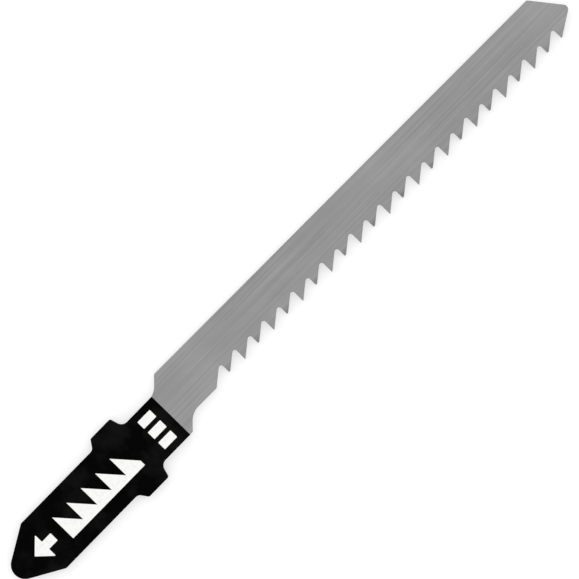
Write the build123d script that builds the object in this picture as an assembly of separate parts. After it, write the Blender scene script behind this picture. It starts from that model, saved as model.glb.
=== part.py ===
# Jigsaw blade with a T shank: one strip of steel, blanked, milled and side set.
#
# Millimetres, +Z up, the blade lying on its side. The origin is on the shank's axis, midway
# along the two lugs, on the lower flat. +X points along the shank to the cutting point and
# the teeth face -Y. The edge opposite the teeth is called the back.
from build123d import *
from math import copysign, cos, floor, radians, sin, tan
import os

# Whole blade
OVERALL_LENGTH = 77.25          # shank end to nose
THICKNESS = 1.0

# Shank: a parallel tongue with a pointed end
SHANK_LENGTH = 15.92            # shank end to the middle of the lugs
SHANK_WIDTH = 6.16
SHANK_END_ANGLE = 30.0          # each flank of the pointed end, to the axis
SHANK_END_RADIUS = 1.38
SHANK_CORNER_RADIUS = 0.3

# The two lugs of the T
LUG_SPAN = 8.0                  # over both lugs
LUG_LENGTH = 2.65               # outer edge, along the axis
LUG_FRONT_ANGLE = 55.0          # shoulder that faces the shank end, to the axis
LUG_BACK_ANGLE = 74.0           # shoulder that faces the cutting point, to the axis
LUG_FRONT_RADIUS = 0.6
LUG_BACK_RADIUS = 0.8
LUG_CORNER_RADIUS = 0.2

# Neck, and the two shoulders that lead from it to the body
NECK_WIDTH = 5.24
NECK_LENGTH = 6.13              # middle of the lugs to where both shoulders leave the neck
SHOULDER_ANGLE = 45.0
BACK_SHOULDER_RADIUS = 1.9
HEEL_RADIUS = 2.0
BLANK_CORNER_RADIUS = 0.15

# Body: back edge and tooth line are parallel and lean a little towards the teeth
BACK_OFFSET = 4.02              # axis to the back edge, at the shoulder
BODY_WIDTH = 5.3                # back edge to tooth tips
BODY_LEAN = 0.56

# Cutting point: a bevel from the back, and a cut under the last tooth
NOSE_RADIUS = 0.45
NOSE_OFFSET = 0.32              # axis to the centre of the nose, towards the back
BEVEL_ANGLE = 52.3
UNDERCUT_ANGLE = 32.0

# Teeth: rake faces square to the tooth line and facing the shank, because the saw cuts
# on its up stroke
HEEL_LAND = 3.32                # tooth line left plain between the heel and the first gullet
TOOTH_PITCH = 2.0
CLEARANCE_ANGLE = 39.0          # back of each tooth, to the tooth line
GULLET_RADIUS = 0.27
LOWERING = 0.12                 # every second tooth is milled this much lower, gullet and all
TOPPING = 0.12                  # and its tip is then taken down flat by this much
POINT_LAND = 1.5                # the least left between the last tooth and the nose

# Side set: above a bend line the teeth lean out, one to each side in turn
SET_ANGLE = 17.0
SET_INNER_RADIUS = 0.3          # hollow side of the bend
SET_CLEARANCE = 0.4             # bend line to the bottoms of the shallower gullets

OVERCUT = 0.5                   # reach of a cutting shape past what it cuts
FILLET_SHARE = 0.95             # most of a straight edge that its two corners may round away


def polar(angle, length=1.0):
    """The vector of a length that points at an angle in degrees."""
    return Vector(length * cos(radians(angle)), length * sin(radians(angle)))


def meet(edge_a, edge_b):
    """Where two straight edges cross, each given as a point on it and its angle."""
    point_a, angle_a = edge_a
    point_b, angle_b = edge_b
    along_a = polar(angle_a)
    square_to_b = polar(angle_b + 90)
    travel = (point_b - point_a).dot(square_to_b) / along_a.dot(square_to_b)
    return point_a + along_a * travel


def shoulder(side, reach):
    """The edge from the neck to an edge of the body that lies reach away from the axis."""
    outwards = copysign(SHOULDER_ANGLE, reach - NECK_WIDTH / 2)
    return Vector(NECK_LENGTH, side * NECK_WIDTH / 2), side * outwards


# The straight edges of the body and the point, each a point on it and its angle
shank_end_x = -SHANK_LENGTH
nose_x = shank_end_x + OVERALL_LENGTH
back_shoulder = shoulder(1, BACK_OFFSET)
heel_shoulder = shoulder(-1, BODY_WIDTH - BACK_OFFSET)
back_corner = meet(back_shoulder, (Vector(0, BACK_OFFSET), 0))
back_edge = (back_corner, -BODY_LEAN)
tooth_line = (back_corner + polar(-90 - BODY_LEAN, BODY_WIDTH), -BODY_LEAN)
nose_centre = Vector(nose_x - NOSE_RADIUS, NOSE_OFFSET)
bevel = (nose_centre + polar(90 - BEVEL_ANGLE, NOSE_RADIUS), -BEVEL_ANGLE)
undercut = (nose_centre + polar(UNDERCUT_ANGLE - 90, NOSE_RADIUS), UNDERCUT_ANGLE)

# Depths of the teeth, from the tooth line into the body
clearance_slope = tan(radians(CLEARANCE_ANGLE))
gullet_fill = GULLET_RADIUS * (clearance_slope + 1 / cos(radians(CLEARANCE_ANGLE)) - 1)
tooth_depth = TOOTH_PITCH * clearance_slope - gullet_fill
crown_height = tooth_depth - SET_CLEARANCE

# The row of teeth. Tooth 0 is the heel, and the last tooth belongs to the point: neither is set
heel_end = meet(tooth_line, heel_shoulder) + polar(-BODY_LEAN, HEEL_LAND)
tooth_count = floor((nose_x - heel_end.X - POINT_LAND) / TOOTH_PITCH)
set_teeth = range(1, tooth_count)
half_gap = (TOOTH_PITCH - crown_height / clearance_slope) / 2

# Where tooth shapes are drawn: x runs along the tooth line from the heel's end, y into the body
on_tooth_line = Location((heel_end.X, heel_end.Y, 0), (0, 0, -BODY_LEAN))


def shank_side(side):
    """Edges of one side of the shank, from its end to the neck.

    side is +1 on the back's side and -1 on the teeth's side. Each edge comes with the
    radius of the corner before it.
    """
    half_shank = side * SHANK_WIDTH / 2
    half_span = side * LUG_SPAN / 2
    half_neck = side * NECK_WIDTH / 2
    apex_x = shank_end_x + SHANK_END_RADIUS * (1 - 1 / sin(radians(SHANK_END_ANGLE)))
    return [
        ((Vector(apex_x, 0), side * SHANK_END_ANGLE), SHANK_END_RADIUS),
        ((Vector(0, half_shank), 0), SHANK_CORNER_RADIUS),
        ((Vector(-LUG_LENGTH / 2, half_span), side * LUG_FRONT_ANGLE), LUG_FRONT_RADIUS),
        ((Vector(0, half_span), 0), LUG_CORNER_RADIUS),
        ((Vector(LUG_LENGTH / 2, half_span), -side * LUG_BACK_ANGLE), LUG_CORNER_RADIUS),
        ((Vector(0, half_neck), 0), LUG_BACK_RADIUS),
    ]


def seated(corners, radii):
    """The corner radii, each held to what its two straight edges leave room for."""
    count = len(corners)
    sides = [corners[(i + 1) % count] - corners[i] for i in range(count)]
    turns = [radians(sides[i - 1].get_angle(sides[i])) for i in range(count)]
    reach = [radius * tan(turn / 2) for radius, turn in zip(radii, turns)]
    shares = []
    for i, side in enumerate(sides):
        needed = reach[i] + reach[(i + 1) % count]
        shares.append(min(1, FILLET_SHARE * side.length / needed) if needed else 1)
    return [radius * min(shares[i - 1], shares[i]) for i, radius in enumerate(radii)]


def blank():
    """The flat outline of the blade before its teeth are cut."""
    body = [
        (back_shoulder, BACK_SHOULDER_RADIUS),
        (back_edge, BLANK_CORNER_RADIUS),
        (bevel, BLANK_CORNER_RADIUS),
        (undercut, NOSE_RADIUS),
        (tooth_line, 0),
        (heel_shoulder, HEEL_RADIUS),
    ]
    # The teeth's side is walked back to the shank end, so each radius moves on by one edge
    tooth_side = shank_side(-1)[::-1]
    edges_back = [edge for edge, _ in tooth_side]
    radii_back = [BLANK_CORNER_RADIUS] + [radius for _, radius in tooth_side[:-1]]

    ring = shank_side(1) + body + list(zip(edges_back, radii_back))
    edges = [edge for edge, _ in ring]
    radii = [radius for _, radius in ring]
    corners = [meet(edges[i - 1], edges[i]) for i in range(len(edges))]
    outline = FilletPolyline(*corners, radius=seated(corners, radii), close=True)
    return make_face(outline.edges())


def is_low(tooth):
    """Whether a tooth is one of the lower ones, which lean down. The others lean up."""
    return tooth % 2 == 1


def gullet(tooth):
    """The gap between one tooth and the next, open past the tooth line."""
    lower = LOWERING if is_low(tooth) else 0
    start = tooth * TOOTH_PITCH
    rake = start + TOOTH_PITCH
    outline = FilletPolyline(
        (start - (OVERCUT + lower) / clearance_slope, -OVERCUT),
        (rake, TOOTH_PITCH * clearance_slope + lower),
        (rake, -OVERCUT),
        radius=[0, GULLET_RADIUS, 0],
        close=True,
    )
    return on_tooth_line * make_face(outline.edges())


def band(tooth, depth):
    """A window over one tooth, from outside the tooth line down to a depth."""
    middle = (tooth + 0.5) * TOOTH_PITCH - half_gap
    window = Rectangle(TOOTH_PITCH, depth + OVERCUT)
    return on_tooth_line * (Location((middle, (depth - OVERCUT) / 2)) * window)


def bent_strip():
    """The strip above the bend line, set upwards, as long as the row of teeth."""
    bend_centre = Vector(0, THICKNESS + SET_INNER_RADIUS)
    hollow = CenterArc(bend_centre, SET_INNER_RADIUS, -90, SET_ANGLE)
    crest = CenterArc(bend_centre, SET_INNER_RADIUS + THICKNESS, -90, SET_ANGLE)
    run = polar(SET_ANGLE, (crown_height + OVERCUT) / cos(radians(SET_ANGLE)))
    section = make_face([
        hollow,
        crest,
        Line(hollow @ 0, crest @ 0),
        Line(hollow @ 1, hollow @ 1 + run),
        Line(crest @ 1, crest @ 1 + run),
        Line(hollow @ 1 + run, crest @ 1 + run),
    ])
    # The section's x points from the bend line to the tips and its y through the thickness
    plane = Plane(origin=(0, crown_height, 0), x_dir=(0, -1, 0), z_dir=(-1, 0, 0))
    return on_tooth_line * extrude(plane * section, amount=-tooth_count * TOOTH_PITCH)


def crowns(profile, teeth, strip):
    """The bent upper parts of some teeth: their outline carried up through a bent strip."""
    outlines = profile & (Sketch() + [band(tooth, crown_height) for tooth in teeth])
    return extrude(outlines, amount=THICKNESS + crown_height, both=True) & strip


def blade():
    """The whole blade: a flat plate and the crowns of its set teeth, as one solid."""
    profile = blank() - [gullet(tooth) for tooth in range(tooth_count)]
    profile -= [band(tooth, LOWERING + TOPPING) for tooth in set_teeth if is_low(tooth)]

    plate = extrude(profile - [band(tooth, crown_height) for tooth in set_teeth], amount=THICKNESS)
    set_up = bent_strip()
    set_down = mirror(set_up, about=Plane.XY.offset(THICKNESS / 2))
    raised = crowns(profile, [tooth for tooth in set_teeth if not is_low(tooth)], set_up)
    lowered = crowns(profile, [tooth for tooth in set_teeth if is_low(tooth)], set_down)
    return plate + raised + lowered


os.makedirs("parts", exist_ok=True)
export_step(blade(), "parts/blade.step")
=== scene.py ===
"""Jigsaw blade with a T shank: the looks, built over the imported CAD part.

Everything is in metres and in the CAD's frame: the origin on the shank's axis midway along
the lugs, +X to the cutting point, the teeth facing -Y, +Z through the blade's thickness. The
blade lies flat, as it would on a table.
"""

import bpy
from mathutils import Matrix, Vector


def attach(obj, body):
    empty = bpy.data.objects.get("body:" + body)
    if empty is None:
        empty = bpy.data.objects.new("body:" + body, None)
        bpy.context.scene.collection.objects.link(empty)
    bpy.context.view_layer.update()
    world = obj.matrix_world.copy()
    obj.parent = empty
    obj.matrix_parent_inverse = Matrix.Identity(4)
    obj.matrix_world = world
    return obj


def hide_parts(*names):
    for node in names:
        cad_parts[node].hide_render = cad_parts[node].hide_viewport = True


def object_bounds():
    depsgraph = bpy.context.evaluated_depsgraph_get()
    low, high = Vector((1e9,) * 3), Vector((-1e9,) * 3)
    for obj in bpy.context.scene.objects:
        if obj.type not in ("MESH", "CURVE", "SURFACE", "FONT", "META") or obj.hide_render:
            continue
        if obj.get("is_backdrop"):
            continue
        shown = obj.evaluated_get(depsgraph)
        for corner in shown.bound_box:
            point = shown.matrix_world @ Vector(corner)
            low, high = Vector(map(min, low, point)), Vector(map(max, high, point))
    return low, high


bl_info = {
    "name": "Jigsaw Blade",
    "version": (1, 0, 0),
    "blender": (4, 5, 0),
    "location": "3D View > Sidebar > Jigsaw Blade",
    "description": "Builds a T-shank jigsaw blade with milled, side-set teeth and a lacquered shank",
    "category": "Add Mesh",
}

from math import copysign, cos, floor, pi, radians, sin, tan

import bpy
from bpy.props import (
    FloatProperty,
    FloatVectorProperty,
    IntProperty,
    PointerProperty,
)
from mathutils import Matrix, Vector

MM = 0.001
WELD = 0.002 * MM               # points of one plan nearer than this are one point
ARC_POINTS = 5.0                # points on the arc of a rounded corner
ARC_POINTS_MORE = 8 / MM        # and how many more for each metre of its radius
GULLET_POINTS = 12              # points on the arc at the bottom of a gullet
ROW_CROWDING = 1.5              # how strongly a crown's rows crowd towards its bend line
PAST_BEND = 1.01                # share of the bend that only the row at a crown's tip is past
SHARP = 35.0                    # edges that turn by more degrees than this are broken

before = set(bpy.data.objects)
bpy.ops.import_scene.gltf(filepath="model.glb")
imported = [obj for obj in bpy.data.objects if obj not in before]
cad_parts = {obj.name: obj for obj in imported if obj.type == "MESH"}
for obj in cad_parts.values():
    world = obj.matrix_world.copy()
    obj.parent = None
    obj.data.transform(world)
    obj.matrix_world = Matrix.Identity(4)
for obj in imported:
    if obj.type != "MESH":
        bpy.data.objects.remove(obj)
cad_low, cad_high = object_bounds()


def linear(hex_colour):
    """A colour written as sRGB hex, such as "9A9A9A", as linear red, green, blue and alpha."""
    channels = [int(hex_colour[i:i + 2], 16) / 255 for i in (0, 2, 4)]
    return tuple(c / 12.92 if c <= 0.04045 else ((c + 0.055) / 1.055) ** 2.4 for c in channels) + (1.0,)


def distance(name, millimetres, description):
    """A length property whose default is given in millimetres."""
    return FloatProperty(
        name=name, description=description, default=millimetres * MM,
        precision=5, unit="LENGTH", subtype="DISTANCE",
    )


def slant(name, degrees, description):
    """An angle property whose default is given in degrees."""
    return FloatProperty(
        name=name, description=description, default=radians(degrees), unit="ROTATION", subtype="ANGLE",
    )


def colour(name, hex_colour, description):
    """A colour property whose default is given as sRGB hex."""
    return FloatVectorProperty(
        name=name, description=description, default=linear(hex_colour), size=4,
        min=0.0, max=1.0, subtype="COLOR",
    )


def number(name, value, description):
    """A property that is a plain number."""
    return FloatProperty(name=name, description=description, default=value)


def whole(name, value, least, description):
    """A property that is a count."""
    return IntProperty(name=name, description=description, default=value, min=least)


class BladeShankSizes(bpy.types.PropertyGroup):
    """The pointed tongue, the two lugs of the T and the neck."""

    shank_width: distance("Shank width", 6.16, "Across the parallel part of the tongue")
    end_angle: slant("End angle", 30.0, "Each flank of the pointed end, to the axis")
    end_radius: distance("End radius", 1.38, "Rounding of the shank's pointed end")
    corner_radius: distance("Corner radius", 0.3, "Where an end flank meets the tongue's edge")
    lug_span: distance("Lug span", 8.0, "Over both lugs")
    lug_length: distance("Lug length", 2.65, "Outer edge of a lug, along the axis")
    lug_front_angle: slant("Lug front angle", 55.0, "Shoulder that faces the shank end, to the axis")
    lug_back_angle: slant("Lug back angle", 74.0, "Shoulder that faces the point, to the axis")
    lug_front_radius: distance("Lug front radius", 0.6, "Root of the front shoulder")
    lug_back_radius: distance("Lug back radius", 0.8, "Root of the back shoulder")
    lug_corner_radius: distance("Lug corner radius", 0.2, "Outer corners of a lug")
    neck_width: distance("Neck width", 5.24, "Across the neck")
    neck_length: distance("Neck length", 6.13, "Middle of the lugs to where the shoulders begin")


class BladeBodySizes(bpy.types.PropertyGroup):
    """The body between the two shoulders and the cutting point."""

    thickness: distance("Thickness", 1.0, "Thickness of the steel strip")
    shoulder_angle: slant("Shoulder angle", 45.0, "Both shoulders, to the axis")
    back_shoulder_radius: distance("Back shoulder radius", 1.9, "Hollow where the neck meets the shoulder")
    heel_radius: distance("Heel radius", 2.0, "Where the other shoulder meets the tooth line")
    blank_corner_radius: distance("Blank corner radius", 0.15, "Small corners of the blanked outline")
    back_offset: distance("Back offset", 4.02, "Axis to the back edge, at the shoulder")
    body_width: distance("Body width", 5.3, "Back edge to tooth tips")
    body_lean: slant("Body lean", 0.56, "How far the body leans towards the teeth")
    nose_radius: distance("Nose radius", 0.45, "Rounding of the cutting point")
    nose_offset: distance("Nose offset", 0.32, "Axis to the nose's centre, towards the back")
    bevel_angle: slant("Bevel angle", 52.3, "Cut from the back to the nose, to the axis")
    undercut_angle: slant("Undercut angle", 32.0, "Cut from the nose under the last tooth, to the axis")
    edge_break: distance("Edge break", 0.035, "Width that tumbling takes off every sharp edge")


class BladeTeethSizes(bpy.types.PropertyGroup):
    """The row of milled teeth and its side set."""

    heel_land: distance("Heel land", 3.32, "Plain tooth line between the heel and the first gullet")
    pitch: distance("Tooth pitch", 2.0, "Tip to tip")
    clearance_angle: slant("Clearance angle", 39.0, "Back of each tooth, to the tooth line")
    gullet_radius: distance("Gullet radius", 0.27, "Rounding of a gullet's bottom")
    lowering: distance("Lowering", 0.12, "How much lower every second tooth is milled, gullet and all")
    topping: distance("Topping", 0.12, "How far the tip of a lower tooth is then taken down flat")
    point_land: distance("Point land", 1.5, "The least left between the last tooth and the nose")
    set_angle: slant("Set angle", 17.0, "How far a crown leans to its side")
    set_inner_radius: distance("Set inner radius", 0.3, "Hollow side of the bend")
    set_clearance: distance("Set clearance", 0.4, "Bottoms of the shallower gullets to the bend line")
    bend_rows: whole("Bend rows", 8, 2, "Rows of faces round the bend")


class BladeCoatSizes(bpy.types.PropertyGroup):
    """The lacquer on the shank and the marks printed on it."""

    lacquer_thickness: distance("Lacquer thickness", 0.03, "Thickness of the coat")
    lacquer_end: distance("Lacquer end", 5.8, "Middle of the lugs to where the coat stops on the neck")
    ink_thickness: distance("Ink thickness", 0.02, "Thickness of the printed marks")
    row_middle: distance("Row middle", -0.1, "Middle line of the large marks, from the axis")
    row_height: distance("Row height", 2.9, "Height of the large marks")
    arrow_start: distance("Arrow start", 2.6, "Shank end to the arrow's tip")
    arrow_length: distance("Arrow length", 2.7, "Length of the arrow with its stem")
    arrow_head: distance("Arrow head", 1.512, "Length of the arrow's head")
    arrow_stem: distance("Arrow stem", 0.986, "Width of the arrow's stem")
    strip_start: distance("Tooth strip start", 6.5, "Shank end to the printed row of teeth")
    strip_pitch: distance("Tooth strip pitch", 2.0, "Pitch of the printed teeth")
    strip_back: distance("Tooth strip back", 0.6, "Height left under the printed teeth")
    strip_teeth: whole("Printed teeth", 5, 1, "Teeth in the printed row")
    bar_middle: distance("Bar middle", 19.8, "Shank end to the middle of the neck's bars")
    bar_length: distance("Bar length", 1.7, "Length of a bar, along the axis")
    bar_width: distance("Bar width", 0.92, "Width of a bar")
    bar_pitch: distance("Bar pitch", 1.42, "Middle of one bar to the next")
    bar_count: whole("Bars", 3, 1, "Bars across the neck")
    mark_radius: distance("Mark radius", 0.06, "Corners of the arrow and the bars")


class BladeColours(bpy.types.PropertyGroup):
    """Colours of the finishes, as they look under plain light."""

    steel: colour("Steel", "919191", "Rolled and tumbled steel")
    steel_shade: colour("Steel shade", "808080", "The darker streaks of the rolled steel")
    lacquer: colour("Lacquer", "000000", "Baked lacquer on the shank")
    ink: colour("Ink", "F6F6F4", "Printed marks")
    floor: colour("Table", "C8C8C8", "The board that the blade lies on, without its own glow")


class BladeStageSizes(bpy.types.PropertyGroup):
    """The camera's place over the blade, and the light."""

    view_centre_x: distance("View centre along", 22.66, "Middle of the picture, along the shank's axis")
    view_centre_y: distance("View centre across", 0.33, "Middle of the picture, across the axis")
    view_width: distance("View width", 56.455, "Width of the picture at the blade's upper flat")
    view_turn: slant("View turn", -45.65, "Turn of the picture against the shank's axis")
    lens: number("Lens", 300.0, "Focal length in millimetres, long so that the view is nearly flat")
    sky_level: number("Sky level", 0.9, "Strength of the even light from above")
    horizon_level: number("Horizon level", 0.75, "Strength of the light from the sides")
    lamp_power: number("Lamp power", 1.2, "Power of the main softbox, in watts")
    side_power: number("Side power", 0.6, "Power of the low softbox, in watts")
    table_reach: distance("Table reach", 3000.0, "Origin to each edge of the table")
    table_gap: distance("Table gap", 0.01, "Left between the lowest tips and the table")
    table_glow: number("Table glow", 0.5, "Light that the table adds where it is seen, to be plain white")


class BladeSettings(bpy.types.PropertyGroup):
    """Everything that a user would change."""

    shank: PointerProperty(type=BladeShankSizes)
    body: PointerProperty(type=BladeBodySizes)
    teeth: PointerProperty(type=BladeTeethSizes)
    coats: PointerProperty(type=BladeCoatSizes)
    colours: PointerProperty(type=BladeColours)
    stage: PointerProperty(type=BladeStageSizes)


def add(tree, kind, inputs=None, **settings):
    """Adds a node with its settings. An input takes a value, a node, a socket or a list of them."""
    node = tree.nodes.new(kind)
    for name, value in settings.items():
        setattr(node, name, value)
    for key, value in (inputs or {}).items():
        socket = node.inputs[key]
        for source in value if isinstance(value, list) else [value]:
            if isinstance(source, bpy.types.Node):
                source = source.outputs[0]
            if isinstance(source, bpy.types.NodeSocket):
                tree.links.new(source, socket)
            else:
                socket.default_value = source
    return node


# The outline, worked out as in the CAD: straight edges, each a point on it and its angle,
# which meet in corners that have a radius


def polar(angle, length=1.0):
    """The vector of a length that points at an angle."""
    return Vector((length * cos(angle), length * sin(angle)))


def meet(edge_a, edge_b):
    """Where two straight edges cross."""
    point_a, angle_a = edge_a
    point_b, angle_b = edge_b
    along_a = polar(angle_a)
    square_to_b = polar(angle_b + pi / 2)
    return point_a + along_a * ((point_b - point_a).dot(square_to_b) / along_a.dot(square_to_b))


def shank_side(shank, side, skin=0.0):
    """Edges of one side of the shank from its end to the neck, each with the radius before it.

    side is 1 on the back's side and -1 on the teeth's, and skin moves every edge outwards.
    """
    half_shank = side * shank.shank_width / 2
    half_span = side * shank.lug_span / 2
    half_neck = side * shank.neck_width / 2
    half_lug = shank.lug_length / 2
    apex_x = cad_low.x + shank.end_radius * (1 - 1 / sin(shank.end_angle))
    edges = [
        (Vector((apex_x, 0)), side * shank.end_angle, shank.end_radius + skin),
        (Vector((0, half_shank)), 0, shank.corner_radius + skin),
        (Vector((-half_lug, half_span)), side * shank.lug_front_angle, shank.lug_front_radius - skin),
        (Vector((0, half_span)), 0, shank.lug_corner_radius + skin),
        (Vector((half_lug, half_span)), -side * shank.lug_back_angle, shank.lug_corner_radius + skin),
        (Vector((0, half_neck)), 0, shank.lug_back_radius - skin),
    ]
    return [
        ((point + polar(angle + side * pi / 2, skin), angle), radius)
        for point, angle, radius in edges
    ]


def round_shank(shank, first_radius, skin=0.0):
    """Edges from the neck on the teeth's side round the shank's end to the neck on the back's."""
    tooth_side = shank_side(shank, -1, skin)[::-1]
    radii = [first_radius] + [radius for _, radius in tooth_side[:-1]]
    return [(edge, radius) for (edge, _), radius in zip(tooth_side, radii)] + shank_side(shank, 1, skin)


def corners_between(ring):
    """The corners of a run of edges, given as (edge, radius before it), each with its radius."""
    return [(meet(ring[i][0], ring[i + 1][0]), ring[i + 1][1]) for i in range(len(ring) - 1)]


def tooth_depths(teeth):
    """How far a crown reaches over its bend line, and the slope of a tooth's back."""
    slope = tan(teeth.clearance_angle)
    fill = teeth.gullet_radius * (slope + 1 / cos(teeth.clearance_angle) - 1)
    return teeth.pitch * slope - fill - teeth.set_clearance, slope


def shoulder(settings, side):
    """The edge from the neck to the body's back, side 1, or to its tooth line, side -1."""
    shank, body = settings.shank, settings.body
    reach = body.back_offset if side > 0 else body.body_width - body.back_offset
    outwards = copysign(body.shoulder_angle, reach - shank.neck_width / 2)
    return Vector((shank.neck_length, side * shank.neck_width / 2)), side * outwards


def back_edge(settings):
    """The body's back, as an edge through its corner with the shoulder."""
    body = settings.body
    corner = meet(shoulder(settings, 1), (Vector((0, body.back_offset)), 0))
    return corner, -body.body_lean


def tooth_line(settings):
    """The edge through the tips of the higher teeth, parallel to the back."""
    corner, angle = back_edge(settings)
    return corner + polar(angle - pi / 2, settings.body.body_width), angle


def tooth_row(settings):
    """The end of the heel, where the row of teeth starts, and how many gullets it has."""
    teeth = settings.teeth
    line = tooth_line(settings)
    heel = meet(line, shoulder(settings, -1)) + polar(line[1], teeth.heel_land)
    count = floor((cad_high.x - heel.x - teeth.point_land) / teeth.pitch)
    return heel, count


def blade_corners(settings):
    """The outline from the heel's back, at the bend line, round the whole blade to the last rake."""
    body = settings.body
    heel, count = tooth_row(settings)
    crown_height, slope = tooth_depths(settings.teeth)
    nose = Vector((cad_high.x - body.nose_radius, body.nose_offset))
    last_tip = heel + polar(-body.body_lean, count * settings.teeth.pitch)
    ring = [
        (tooth_line(settings), 0),
        (shoulder(settings, -1), body.heel_radius),
        *round_shank(settings.shank, body.blank_corner_radius),
        (shoulder(settings, 1), body.back_shoulder_radius),
        (back_edge(settings), body.blank_corner_radius),
        ((nose + polar(pi / 2 - body.bevel_angle, body.nose_radius), -body.bevel_angle),
         body.blank_corner_radius),
        ((nose + polar(body.undercut_angle - pi / 2, body.nose_radius), body.undercut_angle),
         body.nose_radius),
        ((last_tip, pi / 2 - body.body_lean), 0),
    ]
    inwards = polar(pi / 2 - body.body_lean, crown_height)
    first = heel + polar(-body.body_lean, crown_height / slope) + inwards
    return [(first, 0), (heel, 0), *corners_between(ring), (last_tip + inwards, 0)]


def corner_object(name, corners, closed):
    """A line through corners, whose vertices carry the radii, for a tree to round and fill."""
    mesh = bpy.data.meshes.new(name)
    lines = [(i, i + 1) for i in range(len(corners) - 1)]
    if closed:
        lines.append((len(corners) - 1, 0))
    mesh.from_pydata([(x, y, 0) for (x, y), _ in corners], lines, [])
    radii = mesh.attributes.new("corner_radius", "FLOAT", "POINT")
    radii.data.foreach_set("value", [radius for _, radius in corners])
    made = bpy.data.objects.new(name, mesh)
    bpy.context.scene.collection.objects.link(made)
    return made


# Geometry Nodes: what the trees share


def sized_tree(name, sizes):
    """A tree that takes a geometry and the named sizes, and its input's sockets."""
    kinds = {int: "NodeSocketInt", float: "NodeSocketFloat", tuple: "NodeSocketVector"}
    tree = bpy.data.node_groups.new(name, "GeometryNodeTree")
    tree.interface.new_socket("Geometry", in_out="INPUT", socket_type="NodeSocketGeometry")
    for label, value in sizes.items():
        socket = tree.interface.new_socket(label, in_out="INPUT", socket_type=kinds[type(value)])
        socket.default_value = value
    tree.interface.new_socket("Geometry", in_out="OUTPUT", socket_type="NodeSocketGeometry")
    return tree, add(tree, "NodeGroupInput").outputs


def rounded(tree, corners):
    """The lines of a geometry with an arc at each corner that has a radius."""
    radius = add(tree, "GeometryNodeInputNamedAttribute", {"Name": "corner_radius"}, data_type="FLOAT")
    count = add(
        tree, "ShaderNodeMath", {0: radius, 1: ARC_POINTS_MORE, 2: ARC_POINTS}, operation="MULTIPLY_ADD",
    )
    curve = add(tree, "GeometryNodeMeshToCurve", {"Mesh": corners})
    arcs = add(
        tree, "GeometryNodeFilletCurve", {"Curve": curve, "Count": count, "Radius": radius}, mode="POLY",
    )
    return add(tree, "GeometryNodeCurveToMesh", {"Curve": arcs})


def filled(tree, lines):
    """One flat face inside lines that close end to end."""
    welded = add(tree, "GeometryNodeMergeByDistance", {"Geometry": lines, "Distance": WELD})
    curve = add(tree, "GeometryNodeMeshToCurve", {"Mesh": welded})
    return add(tree, "GeometryNodeFillCurve", {"Curve": curve}, mode="NGONS")


def thickened(tree, plan, thickness):
    """A closed plate on a flat plan: a copy of the plan raised with its walls, and one below."""
    up = add(tree, "ShaderNodeCombineXYZ", {"Z": thickness})
    raised = add(
        tree, "GeometryNodeExtrudeMesh", {"Mesh": plan, "Offset": up, "Individual": False}, mode="FACES",
    )
    below = add(tree, "GeometryNodeFlipFaces", {"Mesh": plan})
    both = add(tree, "GeometryNodeJoinGeometry", {"Geometry": [raised, below]})
    return add(tree, "GeometryNodeMergeByDistance", {"Geometry": both, "Distance": WELD})


def repeated(tree, item, count, start, step):
    """Copies of an item in a row."""
    places = add(tree, "GeometryNodeMeshLine", {"Count": count, "Start Location": start, "Offset": step})
    copies = add(tree, "GeometryNodeInstanceOnPoints", {"Points": places, "Instance": item})
    return add(tree, "GeometryNodeRealizeInstances", {"Geometry": copies})


def finish_tree(tree, geometry, material):
    """Ends a tree with its material."""
    coated = add(tree, "GeometryNodeSetMaterial", {"Geometry": geometry, "Material": material})
    add(tree, "NodeGroupOutput", {"Geometry": coated})


def grown(made, tree, sizes):
    """Runs a tree on an object with its sizes, and keeps the result as the object's plain mesh."""
    modifier = made.modifiers.new(tree.name, "NODES")
    modifier.node_group = tree
    items = tree.interface.items_tree
    sockets = {item.name: item.identifier for item in items if item.in_out == "INPUT"}
    for name, value in sizes.items():
        modifier[sockets[name]] = value
    graph = bpy.context.evaluated_depsgraph_get()
    result = bpy.data.meshes.new_from_object(
        made.evaluated_get(graph), preserve_all_data_layers=True, depsgraph=graph
    )
    made.modifiers.remove(modifier)
    corners = made.data
    made.data = result
    bpy.data.meshes.remove(corners)
    if not result.polygons:
        raise RuntimeError(f"{made.name}: its tree gave no faces")
    return made


def break_edges(made, width, segments):
    """Rounds the sharp edges of a piece and shades the rest of it smooth."""
    made.data.shade_smooth()
    bevel = made.modifiers.new("edge break", "BEVEL")
    bevel.width = width
    bevel.segments = segments
    bevel.limit_method = "ANGLE"
    bevel.angle_limit = radians(SHARP)
    bevel.harden_normals = True


# The blade: a flat plate up to the bend line, and a ladder of faces for each set crown


def crown_length(tree, size, lower):
    """How long a crown is at its bend line, where its tooth is milled lower by a length."""
    rise = add(tree, "ShaderNodeMath", {0: size["Crown height"], 1: lower}, operation="SUBTRACT")
    return add(tree, "ShaderNodeMath", {0: rise, 1: size["Back slope"]}, operation="DIVIDE")


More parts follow.
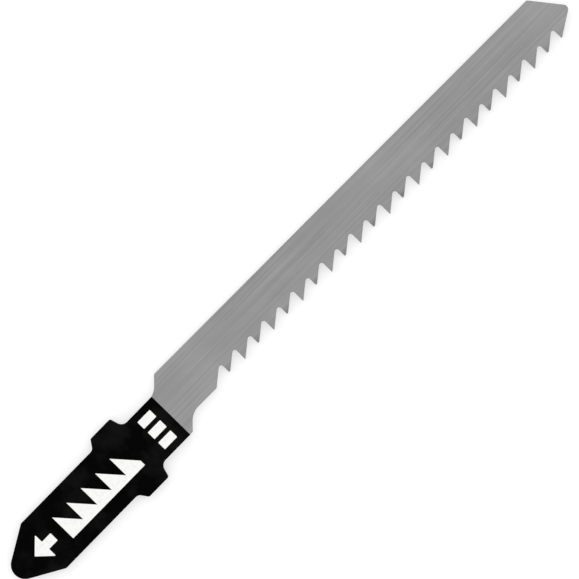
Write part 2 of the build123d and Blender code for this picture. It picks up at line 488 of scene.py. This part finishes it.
def gullet_lines(tree, size, lower):
    """The bottom of one gullet under the bend line, from a tooth's back to the next one's rake."""
    length = crown_length(tree, size, lower)
    back = add(tree, "ShaderNodeCombineXYZ", {"X": length, "Y": size["Crown height"]})
    rake = add(tree, "ShaderNodeCombineXYZ", {"X": size["Pitch"], "Y": size["Crown height"]})
    depth = add(
        tree, "ShaderNodeMath", {0: size["Pitch"], 1: size["Back slope"], 2: lower},
        operation="MULTIPLY_ADD",
    )
    bottom = add(tree, "ShaderNodeCombineXYZ", {"X": size["Pitch"], "Y": depth})
    index = add(tree, "GeometryNodeInputIndex")
    pick = add(tree, "GeometryNodeIndexSwitch", {"Index": index}, data_type="VECTOR")
    pick.index_switch_items.new()
    for place, spot in enumerate((back, bottom, rake)):
        tree.links.new(spot.outputs[0], pick.inputs[str(place)])
    line = add(tree, "GeometryNodeMeshLine", {"Count": 3})
    run = add(tree, "GeometryNodeSetPosition", {"Geometry": line, "Position": pick})
    curve = add(tree, "GeometryNodeMeshToCurve", {"Mesh": run})
    arc = add(
        tree, "GeometryNodeFilletCurve",
        {"Curve": curve, "Count": GULLET_POINTS, "Radius": size["Gullet radius"]}, mode="POLY",
    )
    return add(tree, "GeometryNodeCurveToMesh", {"Curve": arc})


def crown_faces(tree, size, lower, topping, side):
    """One crown as rows of faces from its bend line to its tip, marked with how it is bent."""
    rows = add(tree, "ShaderNodeMath", {0: size["Bend rows"], 1: 2.0}, operation="ADD")
    grid = add(
        tree, "GeometryNodeMeshGrid",
        {"Size X": 1.0, "Size Y": 1.0, "Vertices X": 2, "Vertices Y": rows},
    )
    at = add(tree, "ShaderNodeSeparateXYZ", {0: add(tree, "GeometryNodeInputPosition")}).outputs
    along = add(tree, "ShaderNodeMath", {0: 0.5, 1: at["X"]}, operation="SUBTRACT")
    share = add(tree, "ShaderNodeMath", {0: at["Y"], 1: 0.5}, operation="ADD")
    steps = add(tree, "ShaderNodeMath", {0: size["Bend rows"], 1: 1.0}, operation="ADD")
    row = add(tree, "ShaderNodeMath", {0: share, 1: steps}, operation="MULTIPLY")

    # The rows are closest at the bend line, where the hollow side turns most
    outer = add(tree, "ShaderNodeMath", {0: size["Bend radius"], 1: size["Thickness"]}, operation="ADD")
    sine = add(tree, "ShaderNodeMath", {0: size["Set angle"]}, operation="SINE")
    reach = add(tree, "ShaderNodeMath", {0: outer, 1: sine}, operation="MULTIPLY")
    part = add(tree, "ShaderNodeMath", {0: row, 1: size["Bend rows"]}, operation="DIVIDE")
    eased = add(tree, "ShaderNodeMath", {0: part, 1: ROW_CROWDING}, operation="POWER")
    bent = add(tree, "ShaderNodeMath", {0: eased, 1: reach}, operation="MULTIPLY")
    past = add(tree, "ShaderNodeMath", {0: part, 1: PAST_BEND}, operation="GREATER_THAN")
    sharp = add(tree, "ShaderNodeMath", {0: size["Crown height"], 1: lower}, operation="SUBTRACT")
    top = add(tree, "ShaderNodeMath", {0: sharp, 1: topping}, operation="SUBTRACT")
    height = add(
        tree, "GeometryNodeSwitch", {"Switch": past, "False": bent, "True": top}, input_type="FLOAT",
    )

    depth = add(tree, "ShaderNodeMath", {0: size["Crown height"], 1: height}, operation="SUBTRACT")
    under_tip = add(tree, "ShaderNodeMath", {0: sharp, 1: height}, operation="SUBTRACT")
    width = add(tree, "ShaderNodeMath", {0: under_tip, 1: size["Back slope"]}, operation="DIVIDE")
    across = add(tree, "ShaderNodeMath", {0: along, 1: width}, operation="MULTIPLY")
    spot = add(tree, "ShaderNodeCombineXYZ", {"X": across, "Y": depth})
    noted = add(
        tree, "GeometryNodeStoreNamedAttribute",
        {"Geometry": grid, "Name": "bend_height", "Value": height}, data_type="FLOAT", domain="POINT",
    )
    sided = add(
        tree, "GeometryNodeStoreNamedAttribute",
        {"Geometry": noted, "Name": "set_side", "Value": side}, data_type="FLOAT", domain="POINT",
    )
    return add(tree, "GeometryNodeSetPosition", {"Geometry": sided, "Position": spot})


def set_crowns(tree, blade, size):
    """Lifts the crowns along the set's bend: an arc on either flat, then a straight lean.

    The flat on the hollow side follows the inner radius, the other one that plus the thickness.
    """
    height = add(tree, "GeometryNodeInputNamedAttribute", {"Name": "bend_height"}, data_type="FLOAT")
    side = add(tree, "GeometryNodeInputNamedAttribute", {"Name": "set_side"}, data_type="FLOAT")
    at = add(tree, "ShaderNodeSeparateXYZ", {0: add(tree, "GeometryNodeInputPosition")}).outputs
    middle = add(
        tree, "ShaderNodeMath", {0: size["Thickness"], 1: -0.5, 2: at["Z"]}, operation="MULTIPLY_ADD",
    )
    facing = add(tree, "ShaderNodeMath", {0: middle, 1: side}, operation="MULTIPLY")
    crest = add(tree, "ShaderNodeMath", {0: facing, 1: 0.0}, operation="LESS_THAN")
    radius = add(
        tree, "ShaderNodeMath", {0: crest, 1: size["Thickness"], 2: size["Bend radius"]},
        operation="MULTIPLY_ADD",
    )
    sine = add(tree, "ShaderNodeMath", {0: size["Set angle"]}, operation="SINE")
    reach = add(tree, "ShaderNodeMath", {0: radius, 1: sine}, operation="MULTIPLY")
    within = add(tree, "ShaderNodeMath", {0: height, 1: reach}, operation="MINIMUM")
    radius_squared = add(tree, "ShaderNodeMath", {0: radius, 1: radius}, operation="MULTIPLY")
    within_squared = add(tree, "ShaderNodeMath", {0: within, 1: within}, operation="MULTIPLY")
    below = add(tree, "ShaderNodeMath", {0: radius_squared, 1: within_squared}, operation="SUBTRACT")
    drop = add(tree, "ShaderNodeMath", {0: below}, operation="SQRT")
    arc = add(tree, "ShaderNodeMath", {0: radius, 1: drop}, operation="SUBTRACT")
    rest = add(tree, "ShaderNodeMath", {0: height, 1: within}, operation="SUBTRACT")
    lean = add(tree, "ShaderNodeMath", {0: size["Set angle"]}, operation="TANGENT")
    lift = add(tree, "ShaderNodeMath", {0: rest, 1: lean, 2: arc}, operation="MULTIPLY_ADD")
    signed = add(tree, "ShaderNodeMath", {0: lift, 1: side}, operation="MULTIPLY")
    offset = add(tree, "ShaderNodeCombineXYZ", {"Z": signed})
    return add(tree, "GeometryNodeSetPosition", {"Geometry": blade, "Offset": offset})


def blade_tree(sizes, material):
    """The tree that closes the outline with its teeth, fills it, thickens it and sets the teeth."""
    tree, size = sized_tree("toothed blade", sizes)
    step = add(tree, "ShaderNodeCombineXYZ", {"X": size["Pitch"]})
    two_steps = add(tree, "ShaderNodeVectorMath", {0: step, "Scale": 2.0}, operation="SCALE")
    half = add(tree, "ShaderNodeMath", {0: size["Teeth"], 1: 0.5}, operation="MULTIPLY")
    low_count = add(tree, "ShaderNodeMath", {0: half}, operation="FLOOR")
    high_count = add(tree, "ShaderNodeMath", {0: size["Teeth"], 1: low_count}, operation="SUBTRACT")
    high_set = add(tree, "ShaderNodeMath", {0: high_count, 1: 1.0}, operation="SUBTRACT")
    foot = add(tree, "ShaderNodeCombineXYZ", {"Y": size["Crown height"]})

    # The first high tooth is the heel, which has a gullet after it but no set crown
    lines, crowns = [], []
    for lower, topping, side, gullet_count, gullet_start, crown_count, crown_start in (
        (0.0, 0.0, 1.0, high_count, (0, 0, 0), high_set, two_steps),
        (size["Lowering"], size["Topping"], -1.0, low_count, step, low_count, step),
    ):
        length = add(tree, "ShaderNodeCombineXYZ", {"X": crown_length(tree, size, lower)})
        root = add(tree, "GeometryNodeMeshLine", {"Count": 2, "Start Location": foot, "Offset": length})
        crown = crown_faces(tree, size, lower, topping, side)
        gullet = gullet_lines(tree, size, lower)
        lines.append(repeated(tree, gullet, gullet_count, gullet_start, two_steps))
        lines.append(repeated(tree, root, crown_count, crown_start, two_steps))
        crowns.append(repeated(tree, crown, crown_count, crown_start, two_steps))

    turn = add(tree, "ShaderNodeCombineXYZ", {"Z": size["Row lean"]})
    placed = [
        add(tree, "GeometryNodeTransform",
            {"Geometry": add(tree, "GeometryNodeJoinGeometry", {"Geometry": parts}),
             "Translation": size["Row start"], "Rotation": turn})
        for parts in (lines, crowns)
    ]
    outline = rounded(tree, size["Geometry"])
    closed = add(tree, "GeometryNodeJoinGeometry", {"Geometry": [outline, placed[0]]})
    plan = add(tree, "GeometryNodeJoinGeometry", {"Geometry": [filled(tree, closed), placed[1]]})
    welded = add(tree, "GeometryNodeMergeByDistance", {"Geometry": plan, "Distance": WELD})
    blade = set_crowns(tree, thickened(tree, welded, size["Thickness"]), size)
    finish_tree(tree, blade, material)
    return tree


def flat_tree(name, sizes, material):
    """The tree that fills a closed outline, repeats it in a row and makes it a plate at a height."""
    tree, size = sized_tree(name, sizes)
    plan = filled(tree, rounded(tree, size["Geometry"]))
    row = repeated(tree, plan, size["Count"], (0, 0, 0), size["Step"])
    joined = add(tree, "GeometryNodeMergeByDistance", {"Geometry": row, "Distance": WELD})
    plate = thickened(tree, joined, size["Thickness"])
    up = add(tree, "ShaderNodeCombineXYZ", {"Z": size["Height"]})
    finish_tree(tree, add(tree, "GeometryNodeTransform", {"Geometry": plate, "Translation": up}), material)
    return tree


# Finishes


def new_finish(name):
    """An empty material, its node tree and the Object coordinates of the piece."""
    material = bpy.data.materials.new(name)
    material.use_nodes = True
    tree = material.node_tree
    tree.nodes.clear()
    return material, tree, add(tree, "ShaderNodeTexCoord").outputs["Object"]


def rolled_steel(settings):
    """Cold-rolled tool-steel strip, hardened and tumbled.

    The flats are a dull even grey with fine rolling lines along the strip and faint clouds from
    tempering. The walls of teeth and gullets are milled across the thickness, and the blanked
    edges have a bright sheared band over a rough broken one.
    """
    colours, body = settings.colours, settings.body
    material, tree, place = new_finish("rolled steel strip")
    # Rolling lines are 0.02 mm apart in the real strip, drawn 0.2 mm wide so that they show
    line_length, line_width = 16 * MM, 0.2 * MM
    cloud_width = 7 * MM
    # Tumbling leaves a matt grain of about 0.15 mm
    grain_width = 0.15 * MM
    # A cutter's teeth, or nicks in a punch, mark a wall about every 0.1 mm
    mark_length, mark_width = 3 * MM, 0.09 * MM

    along = add(
        tree, "ShaderNodeMapping",
        {"Vector": place, "Scale": (1 / line_length, 1 / line_width, 1 / line_width)},
    )
    lines = add(
        tree, "ShaderNodeTexNoise", {"Vector": along, "Scale": 1.0, "Detail": 3.0, "Roughness": 0.6},
    )
    clouds = add(
        tree, "ShaderNodeTexNoise",
        {"Vector": place, "Scale": 1 / cloud_width, "Detail": 3.0, "Roughness": 0.55},
    )
    grain = add(
        tree, "ShaderNodeTexNoise",
        {"Vector": place, "Scale": 1 / grain_width, "Detail": 2.0, "Roughness": 0.5},
    )
    mixed = add(tree, "ShaderNodeMix", {0: 0.45, 2: lines, 3: clouds}, data_type="FLOAT")
    tone = add(tree, "ShaderNodeMapRange", {"Value": mixed, "From Min": 0.34, "From Max": 0.66})
    flat_colour = add(
        tree, "ShaderNodeMix",
        {0: tone, 6: tuple(colours.steel_shade), 7: tuple(colours.steel)}, data_type="RGBA",
    ).outputs[2]
    flat_rough = add(
        tree, "ShaderNodeMapRange",
        {"Value": lines, "From Min": 0.3, "From Max": 0.7, "To Min": 0.44, "To Max": 0.36},
    )

    # The walls have marks across the thickness
    normal = add(tree, "ShaderNodeSeparateXYZ", {0: add(tree, "ShaderNodeNewGeometry").outputs["Normal"]})
    upright = add(tree, "ShaderNodeMath", {0: normal.outputs["Z"]}, operation="ABSOLUTE")
    wall = add(tree, "ShaderNodeMapRange", {"Value": upright, "From Min": 0.75, "From Max": 0.35})
    across = add(
        tree, "ShaderNodeMapping",
        {"Vector": place, "Scale": (1 / mark_width, 1 / mark_width, 1 / mark_length)},
    )
    marks = add(
        tree, "ShaderNodeTexNoise", {"Vector": across, "Scale": 1.0, "Detail": 2.0, "Roughness": 0.6},
    )

    # The punch leaves a bright band over a rough one. Milled walls have neither: they lie between
    # the heel and the last tip, where x runs along the row of teeth and y into the body
    height = add(tree, "ShaderNodeSeparateXYZ", {0: place})
    punched = add(
        tree, "ShaderNodeMapRange",
        {"Value": height.outputs["Z"], "From Min": 0.5 * MM, "From Max": 0.62 * MM},
    )
    heel, count = tooth_row(settings)
    from_heel = add(
        tree, "ShaderNodeMapping",
        {"Vector": place, "Location": (heel.x, heel.y, 0.0), "Rotation": (0.0, 0.0, -body.body_lean)},
        vector_type="TEXTURE",
    )
    at = add(tree, "ShaderNodeSeparateXYZ", {0: from_heel}).outputs
    row_end = count * settings.teeth.pitch + body.edge_break
    after_heel = add(tree, "ShaderNodeMath", {0: at["X"], 1: 0.0}, operation="GREATER_THAN")
    before_point = add(tree, "ShaderNodeMath", {0: at["X"], 1: row_end}, operation="LESS_THAN")
    toothed = add(tree, "ShaderNodeMath", {0: at["Y"], 1: body.body_width / 2}, operation="LESS_THAN")
    in_row = add(tree, "ShaderNodeMath", {0: after_heel, 1: before_point}, operation="MULTIPLY")
    milled = add(tree, "ShaderNodeMath", {0: in_row, 1: toothed}, operation="MULTIPLY")
    band = add(tree, "ShaderNodeMix", {0: milled, 2: punched, 3: 0.6}, data_type="FLOAT")
    wall_tone = add(tree, "ShaderNodeMix", {0: 0.35, 2: marks, 3: band}, data_type="FLOAT")
    wall_colour = add(
        tree, "ShaderNodeMix", {0: wall_tone, 6: linear("868688"), 7: linear("B4B4B4")}, data_type="RGBA",
    ).outputs[2]
    wall_rough = add(tree, "ShaderNodeMapRange", {"Value": band, "To Min": 0.5, "To Max": 0.3})

    surface = add(
        tree, "ShaderNodeMix", {0: wall, 6: flat_colour, 7: wall_colour}, data_type="RGBA",
    ).outputs[2]
    rough = add(tree, "ShaderNodeMix", {0: wall, 2: flat_rough, 3: wall_rough}, data_type="FLOAT")
    relief = add(tree, "ShaderNodeMix", {0: wall, 2: lines, 3: marks}, data_type="FLOAT")
    uneven = add(tree, "ShaderNodeMix", {0: 0.3, 2: relief, 3: grain}, data_type="FLOAT")
    bump = add(tree, "ShaderNodeBump", {"Height": uneven, "Strength": 0.25, "Distance": 0.012 * MM})
    shader = add(
        tree, "ShaderNodeBsdfPrincipled",
        {"Base Color": surface, "Metallic": 1.0, "Roughness": rough, "Normal": bump},
    )
    add(tree, "ShaderNodeOutputMaterial", {"Surface": shader})
    return material


def baked_lacquer(colours):
    """Black baking lacquer, sprayed on the shank: satin, with a faint orange peel."""
    material, tree, place = new_finish("baked black lacquer")
    # Orange peel on a thin sprayed coat has waves of about 0.8 mm, with finer dust in it
    peel_width, dust_width = 0.8 * MM, 0.2 * MM
    # The coat covers in uneven patches, a few millimetres wide, which are a little less black
    patch_width = 3 * MM
    peel = add(
        tree, "ShaderNodeTexNoise",
        {"Vector": place, "Scale": 1 / peel_width, "Detail": 2.0, "Roughness": 0.45},
    )
    dust = add(
        tree, "ShaderNodeTexNoise",
        {"Vector": place, "Scale": 1 / dust_width, "Detail": 2.0, "Roughness": 0.5},
    )
    patches = add(
        tree, "ShaderNodeTexNoise",
        {"Vector": place, "Scale": 1 / patch_width, "Detail": 3.0, "Roughness": 0.6},
    )
    tone = add(tree, "ShaderNodeMapRange", {"Value": patches, "From Min": 0.47, "From Max": 0.66})
    surface = add(
        tree, "ShaderNodeMix", {0: tone, 6: tuple(colours.lacquer), 7: linear("0D0D0D")}, data_type="RGBA",
    ).outputs[2]
    rough = add(
        tree, "ShaderNodeMapRange",
        {"Value": dust, "From Min": 0.3, "From Max": 0.7, "To Min": 0.32, "To Max": 0.42},
    )
    bump = add(tree, "ShaderNodeBump", {"Height": peel, "Strength": 0.3, "Distance": 0.01 * MM})
    shader = add(
        tree, "ShaderNodeBsdfPrincipled",
        {"Base Color": surface, "Roughness": rough, "Specular IOR Level": 0.02, "Normal": bump},
    )
    add(tree, "ShaderNodeOutputMaterial", {"Surface": shader})
    return material


def printing_ink(colours):
    """White pad-printing ink: matt and opaque, a little uneven where the pad lifted off."""
    material, tree, place = new_finish("white printing ink")
    # The pad pulls the wet ink into dimples about 0.35 mm apart
    dimple_width = 0.35 * MM
    lift = add(
        tree, "ShaderNodeTexNoise",
        {"Vector": place, "Scale": 1 / dimple_width, "Detail": 3.0, "Roughness": 0.6},
    )
    tone = add(tree, "ShaderNodeMapRange", {"Value": lift, "From Min": 0.3, "From Max": 0.5})
    surface = add(
        tree, "ShaderNodeMix", {0: tone, 6: linear("E9E9E7"), 7: tuple(colours.ink)}, data_type="RGBA",
    ).outputs[2]
    bump = add(tree, "ShaderNodeBump", {"Height": lift, "Strength": 0.2, "Distance": 0.005 * MM})
    shader = add(
        tree, "ShaderNodeBsdfPrincipled",
        {"Base Color": surface, "Roughness": 0.6, "Specular IOR Level": 0.3, "Normal": bump},
    )
    add(tree, "ShaderNodeOutputMaterial", {"Surface": shader})
    return material


def table_top(settings):
    """White laminate: even, matt, and seen by the camera as plain white outside the shadow."""
    material, tree, place = new_finish("white laminate")
    # The paper under the laminate is flecked, a few millimetres apart
    fleck_width = 3 * MM
    fleck = add(
        tree, "ShaderNodeTexNoise",
        {"Vector": place, "Scale": 1 / fleck_width, "Detail": 2.0, "Roughness": 0.5},
    )
    surface = add(
        tree, "ShaderNodeMix",
        {0: fleck, 6: tuple(settings.colours.floor), 7: linear("CACACA")}, data_type="RGBA",
    ).outputs[2]
    board = add(
        tree, "ShaderNodeBsdfPrincipled",
        {"Base Color": surface, "Roughness": 0.8, "Specular IOR Level": 0.0},
    )
    path = add(tree, "ShaderNodeLightPath").outputs
    seen = add(
        tree, "ShaderNodeMath", {0: path["Is Camera Ray"], 1: path["Is Glossy Ray"]}, operation="MAXIMUM",
    )
    seen_through = add(
        tree, "ShaderNodeMath", {0: seen, 1: path["Is Transmission Ray"]}, operation="MAXIMUM",
    )
    level = add(
        tree, "ShaderNodeMath", {0: seen_through, 1: settings.stage.table_glow}, operation="MULTIPLY",
    )
    glow = add(tree, "ShaderNodeEmission", {"Color": linear("FFFFFF"), "Strength": level})
    both = add(tree, "ShaderNodeAddShader", {0: board, 1: glow})
    add(tree, "ShaderNodeOutputMaterial", {"Surface": both})
    return material


class JIGSAW_OT_strip(bpy.types.Operator):
    """Build the steel strip: shank, neck, body, cutting point and the row of set teeth"""

    bl_idname = "jigsaw_blade.strip"
    bl_label = "Steel Strip"

    def execute(self, context):
        settings = context.scene.jigsaw_blade
        body, teeth = settings.body, settings.teeth
        heel, count = tooth_row(settings)
        crown_height, slope = tooth_depths(teeth)
        sizes = {
            "Teeth": count,
            "Pitch": teeth.pitch,
            "Back slope": slope,
            "Gullet radius": teeth.gullet_radius,
            "Crown height": crown_height,
            "Lowering": teeth.lowering,
            "Topping": teeth.topping,
            "Set angle": teeth.set_angle,
            "Bend radius": teeth.set_inner_radius,
            "Bend rows": teeth.bend_rows,
            "Thickness": body.thickness,
            "Row start": (heel.x, heel.y, 0.0),
            "Row lean": -body.body_lean,
        }
        strip = corner_object("blade_strip", blade_corners(settings), closed=False)
        grown(strip, blade_tree(sizes, rolled_steel(settings)), sizes)
        break_edges(strip, body.edge_break, segments=2)
        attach(strip, "root")
        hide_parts("blade")
        return {"FINISHED"}


class JIGSAW_OT_lacquer(bpy.types.Operator):
    """Coat the shank, the lugs and the neck with a thin skin of lacquer"""

    bl_idname = "jigsaw_blade.lacquer"
    bl_label = "Shank Lacquer"

    def execute(self, context):
        settings = context.scene.jigsaw_blade
        coats = settings.coats
        skin = coats.lacquer_thickness
        end = (Vector((coats.lacquer_end, 0)), pi / 2)
        ring = [(end, 0), *round_shank(settings.shank, 0.0, skin), (end, 0)]
        sizes = {
            "Count": 1,
            "Step": (0.0, 0.0, 0.0),
            "Height": -skin,
            "Thickness": settings.body.thickness + 2 * skin,
        }
        coat = corner_object("shank_coat", corners_between(ring), closed=True)
        grown(coat, flat_tree("lacquer coat", sizes, baked_lacquer(settings.colours)), sizes)
        # A sprayed coat rounds the edges that it covers, by about twice its own thickness
        break_edges(coat, 2 * skin, segments=3)
        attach(coat, "root")
        return {"FINISHED"}


class JIGSAW_OT_marks(bpy.types.Operator):
    """Print the plain marks on the shank: an arrow, a row of teeth, and bars on the neck"""

    bl_idname = "jigsaw_blade.marks"
    bl_label = "Printed Marks"

    def execute(self, context):
        settings = context.scene.jigsaw_blade
        coats = settings.coats
        ink = printing_ink(settings.colours)
        low = coats.row_middle - coats.row_height / 2
        high = coats.row_middle + coats.row_height / 2
        tip = cad_low.x + coats.arrow_start
        barb = tip + coats.arrow_head
        tail = tip + coats.arrow_length
        stem_low = coats.row_middle - coats.arrow_stem / 2
        stem_high = coats.row_middle + coats.arrow_stem / 2
        arrow = [
            (tip, coats.row_middle), (barb, low), (barb, stem_low), (tail, stem_low),
            (tail, stem_high), (barb, stem_high), (barb, high),
        ]
        left = cad_low.x + coats.strip_start
        right = left + coats.strip_pitch
        root = low + coats.strip_back
        tooth = [(left, low), (right, low), (right, root), (left, high), (left, root)]
        bar_left = cad_low.x + coats.bar_middle - coats.bar_length / 2
        bar_right = bar_left + coats.bar_length
        bar_low = -(coats.bar_pitch * (coats.bar_count - 1) + coats.bar_width) / 2
        bar_high = bar_low + coats.bar_width
        bar = [(bar_left, bar_low), (bar_right, bar_low), (bar_right, bar_high), (bar_left, bar_high)]
        # The marks are sunk a little into the lacquer, so that no gap shows under them
        sunk = coats.ink_thickness / 2
        # The printed teeth share their ends, so their corners are sharp, where the others are rounded
        for name, corners, radius, count, step in (
            ("arrow_mark", arrow, coats.mark_radius, 1, (0.0, 0.0, 0.0)),
            ("tooth_marks", tooth, 0.0, coats.strip_teeth, (coats.strip_pitch, 0.0, 0.0)),
            ("neck_bars", bar, coats.mark_radius, coats.bar_count, (0.0, coats.bar_pitch, 0.0)),
        ):
            sizes = {
                "Count": count,
                "Step": step,
                "Height": settings.body.thickness + coats.lacquer_thickness - sunk,
                "Thickness": coats.ink_thickness + sunk,
            }
            mark = corner_object(name, [(Vector(corner), radius) for corner in corners], closed=True)
            grown(mark, flat_tree(name, sizes, ink), sizes)
            mark.data.shade_flat()
            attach(mark, "root")
        return {"FINISHED"}


class JIGSAW_OT_stage(bpy.types.Operator):
    """Lay the blade on a white table under soft light, seen straight from above"""

    bl_idname = "jigsaw_blade.stage"
    bl_label = "Stage"

    def execute(self, context):
        settings = context.scene.jigsaw_blade
        stage, scene = settings.stage, context.scene
        low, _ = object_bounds()
        reach = stage.table_reach
        top = low.z - stage.table_gap
        sheet = bpy.data.meshes.new("table")
        corners = [(-reach, -reach), (reach, -reach), (reach, reach), (-reach, reach)]
        sheet.from_pydata([(x, y, top) for x, y in corners], [], [(0, 1, 2, 3)])
        sheet.materials.append(table_top(settings))
        table = bpy.data.objects.new("table", sheet)
        scene.collection.objects.link(table)
        table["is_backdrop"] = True

        world = bpy.data.worlds.new("even sky")
        world.use_nodes = True
        tree = world.node_tree
        tree.nodes.clear()
        towards = add(tree, "ShaderNodeTexCoord").outputs["Generated"]
        direction = add(tree, "ShaderNodeSeparateXYZ", {0: towards})
        level = add(
            tree, "ShaderNodeMapRange",
            {"Value": direction.outputs["Z"], "From Min": 0.0, "From Max": 0.9,
             "To Min": stage.horizon_level, "To Max": stage.sky_level},
        )
        sky = add(tree, "ShaderNodeBackground", {"Color": linear("FFFFFF"), "Strength": level})
        add(tree, "ShaderNodeOutputWorld", {"Surface": sky})
        scene.world = world

        centre = Vector((stage.view_centre_x, stage.view_centre_y, settings.body.thickness))
        turn = Matrix.Rotation(stage.view_turn, 4, "Z")
        # Each softbox: its place from the picture's middle, right, up and towards the camera, and its
        # side, in metres, and its power
        for name, place, size, power in (
            ("main softbox", (-0.06, 0.14, 0.75), 0.9, stage.lamp_power),
            ("low softbox", (-0.5, 0.5, 0.3), 0.3, stage.side_power),
        ):
            light = bpy.data.lights.new(name, "AREA")
            light.size = size
            light.energy = power
            lamp = bpy.data.objects.new(name, light)
            lamp.location = centre + turn @ Vector(place)
            lamp.rotation_mode = "QUATERNION"
            lamp.rotation_quaternion = (centre - lamp.location).to_track_quat("-Z", "Y")
            scene.collection.objects.link(lamp)

        lens = bpy.data.cameras.new("view from above")
        lens.sensor_width = 36.0
        lens.lens = stage.lens
        camera = bpy.data.objects.new("view from above", lens)
        distance_up = stage.view_width * stage.lens / lens.sensor_width
        camera.location = centre + Vector((0, 0, distance_up))
        camera.rotation_euler = (0, 0, stage.view_turn)
        scene.collection.objects.link(camera)
        scene.camera = camera
        scene.view_settings.view_transform = "Standard"
        return {"FINISHED"}


class JIGSAW_PT_blade(bpy.types.Panel):
    """Sizes, colours and building steps of the blade"""

    bl_idname = "JIGSAW_PT_blade"
    bl_label = "Jigsaw Blade"
    bl_space_type = "VIEW_3D"
    bl_region_type = "UI"
    bl_category = "Jigsaw Blade"

    def draw(self, context):
        settings = context.scene.jigsaw_blade
        for label, group, operators in (
            ("Shank", settings.shank, ()),
            ("Body", settings.body, ()),
            ("Teeth", settings.teeth, ("jigsaw_blade.strip",)),
            ("Coats", settings.coats, ("jigsaw_blade.lacquer", "jigsaw_blade.marks")),
            ("Colours", settings.colours, ()),
            ("Stage", settings.stage, ("jigsaw_blade.stage",)),
        ):
            box = self.layout.box()
            box.label(text=label)
            for name in group.__annotations__:
                box.prop(group, name)
            for operator in operators:
                box.operator(operator)


CLASSES = (
    BladeShankSizes,
    BladeBodySizes,
    BladeTeethSizes,
    BladeCoatSizes,
    BladeColours,
    BladeStageSizes,
    BladeSettings,
    JIGSAW_OT_strip,
    JIGSAW_OT_lacquer,
    JIGSAW_OT_marks,
    JIGSAW_OT_stage,
    JIGSAW_PT_blade,
)


def register():
    for cls in CLASSES:
        bpy.utils.register_class(cls)
    bpy.types.Scene.jigsaw_blade = PointerProperty(type=BladeSettings)


def unregister():
    del bpy.types.Scene.jigsaw_blade
    for cls in reversed(CLASSES):
        bpy.utils.unregister_class(cls)


def main():
    """Builds every piece and the stage."""
    register()
    bpy.ops.jigsaw_blade.strip()
    bpy.ops.jigsaw_blade.lacquer()
    bpy.ops.jigsaw_blade.marks()
    bpy.ops.jigsaw_blade.stage()


if __name__ == "__main__":
    main()
